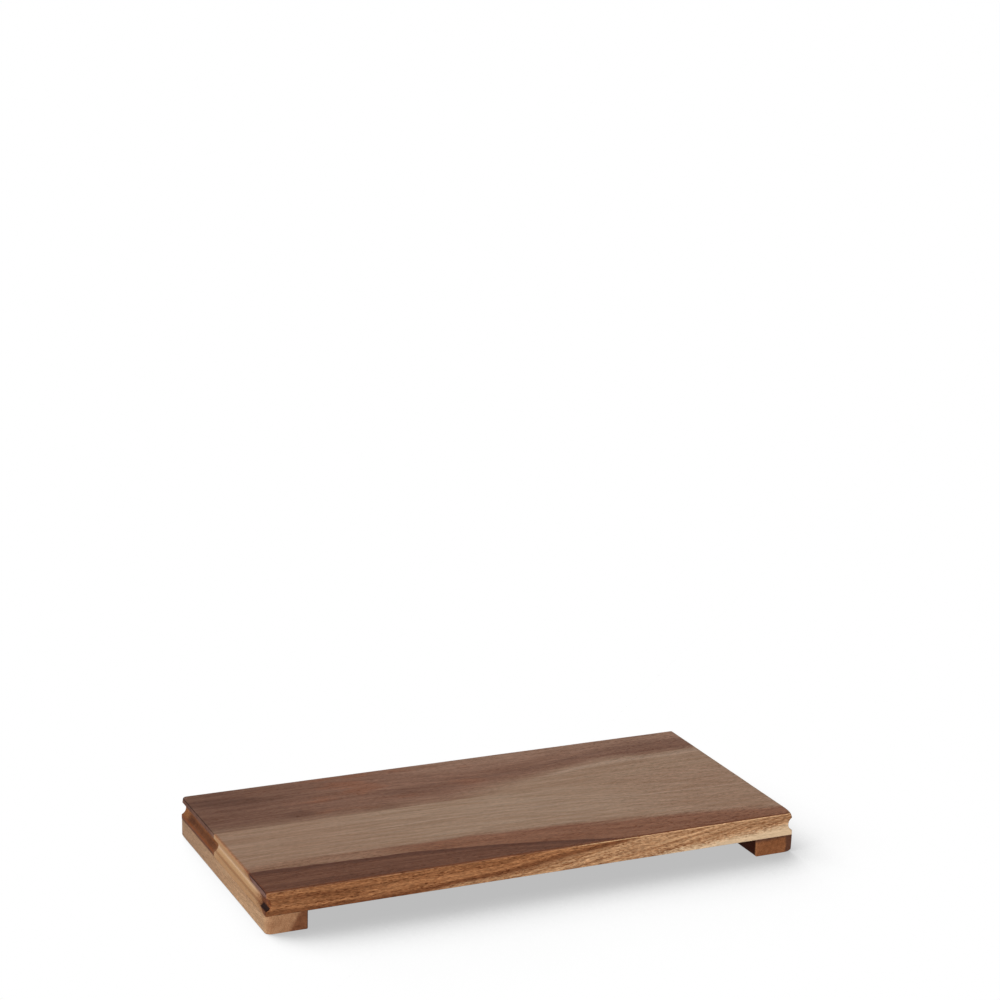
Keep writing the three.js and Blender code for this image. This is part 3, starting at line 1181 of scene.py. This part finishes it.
@dataclass(frozen=True)
class GrooveSizes:
    """The finger groove: a round hollow along an end, with eased lips."""

    height: float = 10.4 * MM
    depth: float = 3.5 * MM
    lip: float = 0.5 * MM
    support: float = 0.3 * MM
    lip_points: int = 6
    round_points: int = 26

    def section(self) -> tuple[np.ndarray, np.ndarray]:
        """The groove's section from just over its upper lip to just under its lower lip.

        A circle through both lips and the deepest point, met at each lip by a smaller arc
        that turns from the end face into it.

        Returns:
            Depth into the wood and height from the groove's middle, point by point.
        """
        half = self.height / 2
        radius = (half**2 + self.depth**2) / (2 * self.depth)
        outside = radius - self.depth
        flare = math.sqrt((radius + self.lip) ** 2 - (self.lip + outside) ** 2)
        turn = math.atan2(flare, self.lip + outside)
        lip = np.linspace(0, turn, self.lip_points)
        bowl = np.linspace(turn, -turn, self.round_points)[1:-1]
        over = np.concatenate([[0.0], self.lip * (1 - np.cos(lip))])
        over_height = np.concatenate([[flare + self.support], flare - self.lip * np.sin(lip)])
        depth = np.concatenate([over, radius * np.cos(bowl) - outside, over[::-1]])
        height = np.concatenate([over_height, radius * np.sin(bowl), -over_height[::-1]])
        return depth, height


@dataclass(frozen=True)
class SandedTip:
    """A corner that sanding has rubbed down.

    Facing gives the shares of the rubbed face's direction out of the corner along X, Y and Z.
    """

    facing: tuple[float, float, float] = (0.55, 0.55, 0.63)
    depth: float = 0.22 * MM
    softness: float = 0.3 * MM

    def rub(self, points: np.ndarray, corner: np.ndarray, out: np.ndarray) -> np.ndarray:
        """Moves points that stand past the rubbed face back to it.

        The new place is p - n s log(1 + e^(d / s)), with d the distance past the face, n its
        direction and s the softness.

        Args:
            points: the points.
            corner: the sharp corner.
            out: signs of the directions out of the corner.

        Returns:
            The moved points.
        """
        facing = np.array(self.facing) * out
        facing /= np.linalg.norm(facing)
        past = (points - corner) @ facing + self.depth
        back = self.softness * np.logaddexp(0, past / self.softness)
        return points - back[..., None] * facing


@dataclass
class Stave:
    """One board of the top: grooved at both ends and drilled from below for its screws."""

    node: str
    slot: str
    finish: WoodFinish
    side: Side
    left_tip: SandedTip = SandedTip()
    right_tip: SandedTip = SandedTip()
    corner: float = 0.7 * MM
    top_edge: float = 0.7 * MM
    bottom_edge: float = 0.5 * MM
    support: float = 0.35 * MM
    rings: tuple[float, ...] = (8.0 * MM, 2.6 * MM, 0.35 * MM)
    wear: float = 0.16
    end_step: float = 6.0 * MM
    side_step: float = 5.0 * MM
    fine_reach: float = 15.0 * MM
    fine_points: int = 46
    arc_points: int = 13
    round_points: int = 8
    screw: ScrewSizes = field(default_factory=ScrewSizes)
    groove: GrooveSizes = field(default_factory=GrooveSizes)

    def measure(self) -> None:
        """Takes the stave's extent from its frame node, and its screws' places from theirs."""
        self.low, self.high = box_of(self.node)
        boxes = [box_of(f"{end.value}_{self.side.value}_screw") for end in End]
        self.screws = [(low + high) / 2 for low, high in boxes]
        self.screw_tip = boxes[0][1][2]
        self.out = -1 if self.side is Side.FRONT else 1
        self.outer = self.low[1] if self.side is Side.FRONT else self.high[1]

    def outline(self) -> Outline:
        """From the glue line at the left end, round the outer side, to it at the right end.

        It is worked out for an outer side at the front, and mirrored for one at the back.
        """
        end, corner = self.high[0], self.corner
        mirror = -self.out
        inner = mirror * (self.high[1] if self.side is Side.FRONT else self.low[1])
        outer = mirror * self.outer
        screw = inner - mirror * self.screws[0][1]
        reach = inner - outer - corner
        straight = 2 * (end - corner)
        fine = np.linspace(0, self.fine_reach, self.fine_points)
        end_shares = spread(reach, self.end_step, [screw, *(reach - fine)])
        side_shares = spread(straight, self.side_step, [*fine, *(straight - fine)])
        parts = [
            Outline.run((-end, inner), (-end, inner - reach), end_shares),
            Outline.turn((-end + corner, outer + corner), corner, 2, self.arc_points),
            Outline.run((-end + corner, outer), (end - corner, outer), side_shares),
            Outline.turn((end - corner, outer + corner), corner, 3, self.arc_points),
            Outline.run((end, inner - reach), (end, inner), 1 - end_shares[::-1]),
        ]
        path = Outline.chain(parts)
        flip = np.array([1, mirror])
        return Outline(path.points * flip, path.normals * flip)

    def rows(self, wear: np.ndarray) -> tuple[np.ndarray, np.ndarray, np.ndarray]:
        """The rim's profile from rings on the top, round its edge and groove, to the underside.

        Args:
            wear: how much larger or smaller the edges are along the path.

        Returns:
            Inset and level of each point in rows, and the groove's depth in each row.
        """
        bottom, top = self.low[2], self.high[2]
        into, down = round_over(self.round_points)
        depth, height = self.groove.section()
        rings = np.array(self.rings)[:, None]
        one = np.ones((1, len(wear)))
        upper, lower = self.top_edge * wear, self.bottom_edge * wear
        inset = np.concatenate([
            rings + upper,
            into[:, None] * upper,
            0 * one,
            np.zeros((len(depth), 1)) * one,
            0 * one,
            into[::-1, None] * lower,
            rings[::-1] + lower,
        ])
        level = np.concatenate([
            top + 0 * rings * one,
            top - down[:, None] * upper,
            top - self.support - upper * one,
            ((top + bottom) / 2 + height)[:, None] * one,
            bottom + self.support + lower * one,
            bottom + down[::-1, None] * lower,
            bottom + 0 * rings * one,
        ])
        flat = np.zeros(len(rings) + len(into) + 1)
        return inset, level, np.concatenate([flat, depth, flat])[:, None]

    def side_surface(self, path: Outline) -> np.ndarray:
        """The rim profile carried along the outline, cut back by the finger groove.

        Each row is the outline moved inwards along its normals, held inside the plan drawn in
        by as much, and set at its level. The groove's rows are pushed in along X by its depth,
        less and less along the side, which keeps the corners of its mouths round. The tips are
        rubbed down last.

        Args:
            path: the outline.

        Returns:
            Points in rows from the top's inner ring to the underside's.
        """
        inset, level, hollow = self.rows(worn(path, self.wear))
        end = self.high[0] - np.maximum(inset, hollow)
        side = np.abs(self.outer) - inset
        along = path.points[:, 0]
        before_corner = self.high[0] - self.corner - np.abs(along)
        pushed = np.clip(1 - before_corner / self.fine_reach, 0, 1) * np.sign(along)
        x = np.clip(along - inset * path.normals[:, 0] - hollow * pushed, -end, end)
        y = np.clip(path.points[:, 1] - inset * path.normals[:, 1], -side, side)
        points = np.stack([x, y, level], axis=-1)
        for tip, sign in ((self.left_tip, -1), (self.right_tip, 1)):
            corner = np.array([sign * self.high[0], self.outer, self.high[2]])
            points = tip.rub(points, corner, np.array([sign, self.out, 1]))
        return points

    def build(self) -> bpy.types.Object:
        """Builds the stave as one closed surface."""
        self.measure()
        path = self.outline()
        shell = Shell()
        side = shell.add_points(self.side_surface(path))
        shell.add_quads(side, closed=False)
        shell.add_face(side[0])
        shell.add_face(side[:, 0], side[::-1, -1])
        holes = [self.drill(shell, place) for place in self.screws]
        near = path.nearest(self.low[0], self.screws[0][1])
        far = path.nearest(self.high[0], self.screws[0][1])
        shell.add_drilled_face(side[-1], near, far, holes)
        return shell.finish(self.node, self.finish.build(), self.finish.axis)

    def drill(self, shell: Shell, place: np.ndarray) -> np.ndarray:
        """Adds a blind hole for a screw, and gives the numbers of its ring in the underside."""
        screw = self.screw
        bore = screw.body + screw.clearance
        profile = np.array([[bore, self.low[2]], [bore, self.screw_tip - screw.point]])
        angles = -self.out * screw.hole_angles(-self.out * math.pi)
        numbers = shell.add_points(turned((place[0], place[1]), profile, angles))
        shell.add_quads(numbers, closed=True)
        pole = shell.add_points(np.array([place[0], place[1], self.screw_tip + screw.clearance]))
        shell.add_fan(numbers[-1], int(pole))
        return numbers[0]


@dataclass
class FootRail:
    """A runner across the board, flush with it outside and rounded along its lower edges."""

    node: str
    slot: str
    finish: WoodFinish
    end: End
    corner: float
    plain_corner: float = 1.4 * MM
    outer_edge: float = 1.4 * MM
    inner_edge: float = 1.3 * MM
    end_edge: float = 0.6 * MM
    top_edge: float = 0.3 * MM
    support: float = 0.35 * MM
    rings: tuple[float, ...] = (5.0 * MM, 1.8 * MM, 0.35 * MM)
    tip: SandedTip = SandedTip((0.45, 0.55, 0.7), 1.0 * MM, 0.6 * MM)
    wear: float = 0.07
    end_step: float = 3.0 * MM
    side_step: float = 5.0 * MM
    fine_reach: float = 8.0 * MM
    fine_points: int = 22
    arc_points: int = 13
    round_points: int = 9
    screw: ScrewSizes = field(default_factory=ScrewSizes)

    def measure(self) -> None:
        """Takes the rail's extent from its frame node, and its screws' places from theirs."""
        self.low, self.high = box_of(self.node)
        boxes = [box_of(f"{self.end.value}_{side.value}_screw") for side in Side]
        self.screws = [(low + high) / 2 for low, high in boxes]

    def outline(self) -> Outline:
        """Once round the rail to the left, from the front of its left side."""
        (left, front, _), (right, back, _) = self.low, self.high
        plain, count = self.plain_corner, self.arc_points
        first, last = self.corner, plain
        if self.end is End.RIGHT:
            first, last = last, first
        middle = self.screws[0][0] - left
        fine = np.linspace(0, self.fine_reach, self.fine_points)

        def across(from_left: float, from_right: float) -> np.ndarray:
            """Shares of the way along an end between its corners, from left to right."""
            reach = right - left - from_left - from_right
            return spread(reach, self.end_step, [middle - from_left, *fine, *(reach - fine)])

        def along(from_front: float) -> np.ndarray:
            """Shares of the way along a side between its corners, from front to back."""
            reach = back - front - from_front - plain
            return spread(reach, self.side_step, [*fine, *(reach - fine)])

        parts = [
            Outline.run((left + first, front), (right - last, front), across(first, last)),
            Outline.turn((right - last, front + last), last, 3, count),
            Outline.run((right, front + last), (right, back - plain), along(last)),
            Outline.turn((right - plain, back - plain), plain, 0, count),
            Outline.run((right - plain, back), (left + plain, back), 1 - across(plain, plain)[::-1]),
            Outline.turn((left + plain, back - plain), plain, 1, count),
            Outline.run((left, back - plain), (left, front + first), 1 - along(first)[::-1]),
            Outline.turn((left + first, front + first), first, 2, count),
        ]
        path = Outline.chain(parts)
        return Outline(path.points[:-1], path.normals[:-1])

    def insets(self, radius: float, heights: np.ndarray, wear: np.ndarray) -> np.ndarray:
        """How far a face is drawn in, in rows by height.

        By a quarter round of its own radius at its foot, r - sqrt(r^2 - (r - h)^2), and by a
        small one under its top.

        Args:
            radius: the radius at the foot.
            heights: the rows' heights over the foot.
            wear: how much larger or smaller the edges are along the path.

        Returns:
            The insets.
        """
        foot, top = radius * wear, self.top_edge * wear
        over = np.minimum(heights[:, None], foot)
        under = np.minimum((heights[-1] - heights)[:, None], top)
        at_foot = foot - np.sqrt(foot**2 - (foot - over) ** 2)
        return at_foot + top - np.sqrt(top**2 - (top - under) ** 2)

    def side_surface(self, path: Outline) -> np.ndarray:
        """The outline at each height, held inside its four faces as they are drawn in there.

        Rings of the flat underside come first, and one of the hidden top comes last. The outer
        corners of the foot are rubbed down last.

        Args:
            path: the outline.

        Returns:
            Points in rows from the underside's inner ring to the top's.
        """
        (left, front, bottom), (right, back, top) = self.low, self.high
        at_left, at_right = self.outer_edge, self.inner_edge
        if self.end is End.RIGHT:
            at_left, at_right = at_right, at_left
        _, down = round_over(self.round_points)
        feet = [radius * down for radius in (self.outer_edge, self.inner_edge, self.end_edge)]
        low = np.unique(np.concatenate([*feet, [self.outer_edge + self.support]]))
        high = top - bottom - self.top_edge * down[::-1]
        heights = np.concatenate([np.zeros(len(self.rings)), low, high, high[-1:]])
        drawn_in = np.concatenate([self.rings, np.zeros(len(low) + len(high)), [self.support]])[:, None]
        wear = worn(path, self.wear)
        ends = self.insets(self.end_edge, heights, wear) + drawn_in
        on_left = left + self.insets(at_left, heights, wear) + drawn_in
        on_right = right - self.insets(at_right, heights, wear) - drawn_in
        x = np.clip(path.points[:, 0], on_left, on_right)
        y = np.clip(path.points[:, 1], front + ends, back - ends)
        level = np.broadcast_to(bottom + heights[:, None], x.shape)
        points = np.stack([x, y, level], axis=-1)
        outer, sign = (left, -1) if self.end is End.LEFT else (right, 1)
        for end, out in ((front, -1), (back, 1)):
            points = self.tip.rub(points, np.array([outer, end, bottom]), np.array([sign, out, -1]))
        return points

    def build(self) -> bpy.types.Object:
        """Builds the rail as one closed surface with its countersunk holes."""
        self.measure()
        path = self.outline()
        shell = Shell()
        side = shell.add_points(self.side_surface(path))
        shell.add_quads(side, closed=True)
        walls = [self.drill(shell, place) for place in self.screws]
        middle = self.screws[0][0]
        near = path.nearest(middle, self.low[1])
        far = path.nearest(middle, self.high[1])
        shell.add_drilled_face(side[0], near, far, [wall[0] for wall in walls])
        shell.add_drilled_face(side[-1], near, far, [wall[-1] for wall in walls])
        return shell.finish(self.node, self.finish.build(), self.finish.axis)

    def drill(self, shell: Shell, place: np.ndarray) -> np.ndarray:
        """Adds a countersunk hole right through, and gives its rings from bottom to top."""
        screw = self.screw
        bottom, top = self.low[2], self.high[2]
        head = screw.head + screw.clearance
        bore = screw.body + screw.clearance
        seat = bottom + screw.recess + screw.head_rim
        profile = np.array([
            [head + screw.mouth_ease, bottom],
            [head, bottom + screw.mouth_ease],
            [head, seat],
            [bore, seat + screw.head_cone],
            [bore, top],
        ])
        angles = screw.hole_angles(-math.pi / 2)
        numbers = shell.add_points(turned((place[0], place[1]), profile, angles))
        shell.add_quads(numbers, closed=True)
        return numbers


@dataclass
class WoodScrew:
    """A countersunk screw with a cross recess in its head and a thread round its core."""

    node: str
    slot: str
    material: bpy.types.Material
    sizes: ScrewSizes = field(default_factory=ScrewSizes)

    def build(self) -> bpy.types.Object:
        """Builds the screw as one closed surface, from its recess to its point."""
        low, high = box_of(self.node)
        bottom, top = low[2], high[2]
        centre = tuple((low + high)[:2] / 2)
        shell = Shell()
        face, rim_angles = self.head_face(centre, bottom)
        numbers = shell.add_points(face)
        shell.add_quads(numbers, closed=False)
        body = shell.add_points(self.body(centre, bottom, top, rim_angles))
        shell.add_quads(np.stack([rim_of(numbers), body[0]]), closed=True)
        shell.add_quads(body, closed=True)
        pole = shell.add_points(np.array([*centre, top]))
        shell.add_fan(body[-1], int(pole))
        return shell.finish(self.node, self.material, None)

    def head_face(self, centre: tuple[float, float], height: float) -> tuple[np.ndarray, np.ndarray]:
        """The square middle of the head's face, sunk where the cross is.

        Each arm of the cross sinks as far as the product of two clamped slopes, a steep one across the
        arm and a long one towards its tip, and the deeper arm counts.

        Args:
            centre: the screw's axis in plan.
            height: the height of the head's face.

        Returns:
            The grid of points, and the angles of its rim's points round the axis.
        """
        sizes = self.sizes
        foot = sizes.cross_reach - sizes.cross_foot
        floor = sizes.cross_slot - sizes.cross_wall
        slot, reach = sizes.cross_slot, sizes.cross_reach
        edge = reach + sizes.cross_margin
        half = np.sort([floor / 2, floor, slot, foot, reach, edge, *sizes.cross_lines])
        lines = np.concatenate([-half[::-1], [0.0], half])
        x, y = np.meshgrid(lines, lines)

        def arm(along: np.ndarray, across: np.ndarray) -> np.ndarray:
            """The depth of one arm."""
            tip = np.clip((reach - np.abs(along)) / sizes.cross_foot, 0, 1)
            wall = np.clip((slot - np.abs(across)) / sizes.cross_wall, 0, 1)
            return tip * wall

        sunk = np.maximum(arm(x, y), arm(y, x)) * sizes.cross_depth
        points = np.stack([centre[0] + x, centre[1] + y, height + sunk], axis=-1)
        return points, np.arctan2(rim_of(y), rim_of(x))

    def body(
        self, centre: tuple[float, float], bottom: float, top: float, angles: np.ndarray
    ) -> np.ndarray:
        """Head, cone and thread as rows of circles.

        The thread's radius is its core plus a ridge that rises and falls once per pitch along
        a helix: the ridge is a clamped triangle wave of height over pitch minus turn.

        Args:
            centre: the screw's axis in plan.
            bottom: the height of the head's face.
            top: the height of the point.
            angles: the columns' angles.

        Returns:
            Rows of points from the head's face to just under the point.
        """
        sizes = self.sizes
        seat = bottom + sizes.head_rim
        neck = seat + sizes.head_cone
        eased = sizes.head_edge_share * sizes.head_edge
        head = np.array([
            [sizes.head - sizes.head_edge, bottom],
            [sizes.head - eased, bottom + eased],
            [sizes.head, bottom + sizes.head_edge],
            [sizes.head, seat],
            [sizes.body, neck],
        ])
        step = sizes.thread_step
        height = np.arange(neck + step, top - sizes.point_gap, step)[:, None]
        taper = np.clip((top - height) / sizes.point, 0, 1)
        phase = ((height - neck) / sizes.pitch - angles / (2 * math.pi)) % 1.0
        ridge = np.clip(1 - np.abs(phase - 0.5) / sizes.ridge_share, 0, 1)
        starting = np.clip((height - neck) / sizes.pitch, 0, 1)
        core = sizes.body + (sizes.core - sizes.body) * starting
        radius = taper * (core + (sizes.body - core) * ridge)
        x = centre[0] + radius * np.cos(angles)
        y = centre[1] + radius * np.sin(angles)
        thread = np.stack([x, y, np.broadcast_to(height, x.shape)], axis=-1)
        return np.concatenate([turned(centre, head, angles), thread])


# Studio


def direction(azimuth: float, elevation: float) -> Vector:
    """The direction at degrees of azimuth, from the front to the right, and of elevation."""
    turn, lift = math.radians(azimuth), math.radians(elevation)
    level = math.cos(lift)
    return Vector((math.sin(turn) * level, -math.cos(turn) * level, math.sin(lift)))


@dataclass(frozen=True)
class CameraPose:
    """Where the photograph was taken from, fitted to the board's edges."""

    place: tuple[float, float, float] = (-0.7483, -1.6481, 0.7414)
    azimuth: float = -24.560
    elevation: float = 14.419
    roll: float = 1.364
    focal_length: float = 89.67
    sensor: float = 36.0

    def build(self) -> None:
        """Makes the camera and gives it to the scene."""
        back = direction(self.azimuth, self.elevation)
        roll = math.radians(self.roll)
        level = Vector((0, 0, 1)).cross(back).normalized()
        upright = back.cross(level)
        right = math.cos(roll) * level + math.sin(roll) * upright
        up = math.cos(roll) * upright - math.sin(roll) * level
        data = bpy.data.cameras.new("camera")
        data.sensor_width = self.sensor
        data.lens = self.focal_length
        camera = bpy.data.objects.new("camera", data)
        turn = Matrix((right, up, back)).transposed().to_4x4()
        camera.matrix_world = Matrix.Translation(self.place) @ turn
        bpy.context.scene.collection.objects.link(camera)
        bpy.context.scene.camera = camera


@dataclass(frozen=True)
class SoftLamp:
    """A broad, far lamp, given by where it shines from."""

    name: str
    azimuth: float
    elevation: float
    spread: float
    level: float

    def build(self) -> None:
        """Makes the lamp. A level of 1 lights a white face square to it to white."""
        data = bpy.data.lights.new(self.name, "SUN")
        data.energy = self.level * math.pi
        data.angle = math.radians(self.spread)
        lamp = bpy.data.objects.new(self.name, data)
        towards = direction(self.azimuth, self.elevation)
        lamp.rotation_mode = "QUATERNION"
        lamp.rotation_quaternion = towards.to_track_quat("Z", "Y")
        bpy.context.scene.collection.objects.link(lamp)


@dataclass(frozen=True)
class Studio:
    """A white sweep with soft light from the front left.

    Where the floor is seen, it is white with a soft shadow round the object's feet.
    """

    fill: float = 0.18
    floor_tint: Tint = Tint(228, 228, 228)
    shadow_tint: Tint = Tint(188, 188, 188)
    shadow_reach: float = 0.2
    shadow_facing: tuple[float, float, float] = (-0.42, 0.79, 0.44)
    shadow_steps: Step = (0.40, 0.885)
    shadow_samples: int = 16
    floor_reach: float = 40.0
    floor_drop: float = 0.02 * MM
    lamps: tuple[SoftLamp, ...] = (
        SoftLamp("key_lamp", azimuth=-37.0, elevation=11.5, spread=35.0, level=1.05),
    )

    def build(self) -> None:
        """Builds the lamps, the world and the floor."""
        for lamp in self.lamps:
            lamp.build()
        self.build_world()
        self.build_floor()

    @staticmethod
    def seen(graph: Graph) -> Wire:
        """1 for rays that show the background: from the camera, in a gloss or through glass."""
        rays = graph.node("LightPath").outputs
        kinds = ("Camera", "Glossy", "Transmission")
        camera, gloss, glass = (Wire(graph, rays[f"Is {kind} Ray"]) for kind in kinds)
        return graph.math("MINIMUM", camera + gloss + glass, 1.0)

    def build_world(self) -> None:
        """White where it is seen, and a soft fill where it lights."""
        world = bpy.data.worlds.new("studio")
        world.use_nodes = True
        graph = Graph(world.node_tree)
        strength = self.fill + self.seen(graph) * (1.0 - self.fill)
        sky = graph.node("Background", None, {"Color": WHITE, "Strength": strength})
        graph.node("OutputWorld", None, {"Surface": sky.outputs["Background"]})
        bpy.context.scene.world = world

    def shadow(self, graph: Graph) -> bpy.types.NodeSocket:
        """White, greyer where the object shuts off the floor's view away from the light."""
        facing = graph.vector("NORMALIZE", self.shadow_facing, (0.0, 0.0, 0.0))
        sockets = {"Distance": self.shadow_reach, "Normal": facing}
        node = graph.node("AmbientOcclusion", {"samples": self.shadow_samples}, sockets)
        light = Wire(graph, node.outputs["AO"]).rise(*self.shadow_steps)
        return graph.mix(light, self.shadow_tint, WHITE)

    def build_floor(self) -> None:
        """A wide floor: matt for the light, white with its shadow where seen, clear from below."""
        material, graph = new_material("sweep")
        matt = graph.node("BsdfDiffuse", None, {"Color": self.floor_tint})
        glow = graph.node("Emission", None, {"Color": self.shadow(graph), "Strength": 1.0})
        rays = {0: self.seen(graph), 1: matt.outputs["BSDF"], 2: glow.outputs["Emission"]}
        both = graph.node("MixShader", None, rays)
        clear = graph.node("BsdfTransparent")
        below = graph.node("NewGeometry").outputs["Backfacing"]
        sides = {0: below, 1: both.outputs["Shader"], 2: clear.outputs["BSDF"]}
        surface = graph.node("MixShader", None, sides).outputs["Shader"]
        graph.node("OutputMaterial", None, {"Surface": surface})
        reach, level = self.floor_reach, -self.floor_drop
        plan = [(-reach, -reach), (reach, -reach), (reach, reach), (-reach, reach)]
        corners = [(x, y, level) for x, y in plan]
        mesh = bpy.data.meshes.new("floor")
        mesh.from_pydata(corners, [], [(0, 1, 2, 3)])
        mesh.materials.append(material)
        floor = bpy.data.objects.new("floor", mesh)
        bpy.context.scene.collection.objects.link(floor)


def seat(piece: bpy.types.Object, node: str, slot: str) -> None:
    """Hangs a piece under the frame's body in its node's place, and hides the node."""
    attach(piece, BODY)
    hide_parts(node)
    LOG.info("%s: %d faces", piece.name, len(piece.data.polygons))


def main() -> None:
    """Builds the board's pieces round the frame, then the studio."""
    logging.basicConfig(level=logging.INFO, format="%(name)s: %(message)s")
    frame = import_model()
    LOG.info("frame: %d nodes", len(frame["nodes"]))
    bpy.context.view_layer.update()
    back_ends = Tint(178, 164, 157)
    back_wood = WoodFinish("back_stave_wood", BackStaveFigure(), seed=3.7, end_grain=back_ends)
    front_wood = WoodFinish("front_stave_wood", FrontStaveFigure(), seed=11.2)
    rail_ends = Tint(215, 200, 192)
    left_wood = WoodFinish(
        "left_rail_wood", RailFigure(), GrainAxis.Y, 5.1, end_grain=rail_ends, specular=0.03
    )
    right_wood = WoodFinish(
        "right_rail_wood",
        RailFigure(
            pale=RingedWood(Tint(166, 118, 82), Tint(148, 101, 68)),
            back=Stain(Tint(150, 106, 74)),
            dark=RingedWood(Tint(118, 84, 68), Tint(100, 70, 57)),
            edge=209.8,
            lean=0.0,
            # The dark colour over this height is a painted shadow under the board.
            shadow_cap=11.8,
            blur=1.2,
        ),
        GrainAxis.Y,
        8.4,
        end_grain=rail_ends,
        specular=0.03,
    )
    rubbed = SandedTip(facing=(0.85, 0.3, 0.43), depth=1.75 * MM, softness=0.75 * MM)
    eased = SandedTip(facing=(0.75, 0.6, 0.25), depth=1.9 * MM, softness=0.5 * MM)
    crisp = SandedTip(depth=0.0, softness=0.2 * MM)
    parts = (
        Stave("back_stave", "back_stave_wood", back_wood, Side.BACK, eased, crisp),
        Stave("front_stave", "front_stave_wood", front_wood, Side.FRONT, right_tip=rubbed),
        FootRail(
            "left_foot_rail",
            "left_rail_wood",
            left_wood,
            End.LEFT,
            corner=5.6 * MM,
            outer_edge=1.5 * MM,
        ),
        FootRail(
            "right_foot_rail",
            "right_rail_wood",
            right_wood,
            End.RIGHT,
            corner=0.4 * MM,
            inner_edge=2.2 * MM,
            end_edge=1.0 * MM,
            tip=SandedTip((0.45, 0.55, 0.7), 1.6 * MM, 0.6 * MM),
        ),
    )
    for part in parts:
        seat(part.build(), part.node, part.slot)
    steel = SteelFinish().build()
    for end in End:
        for side in Side:
            screw = WoodScrew(f"{end.value}_{side.value}_screw", "screw_steel", steel)
            seat(screw.build(), screw.node, screw.slot)
    CameraPose().build()
    Studio().build()
    bpy.context.scene.view_settings.view_transform = "Standard"


if __name__ == "__main__":
    main()
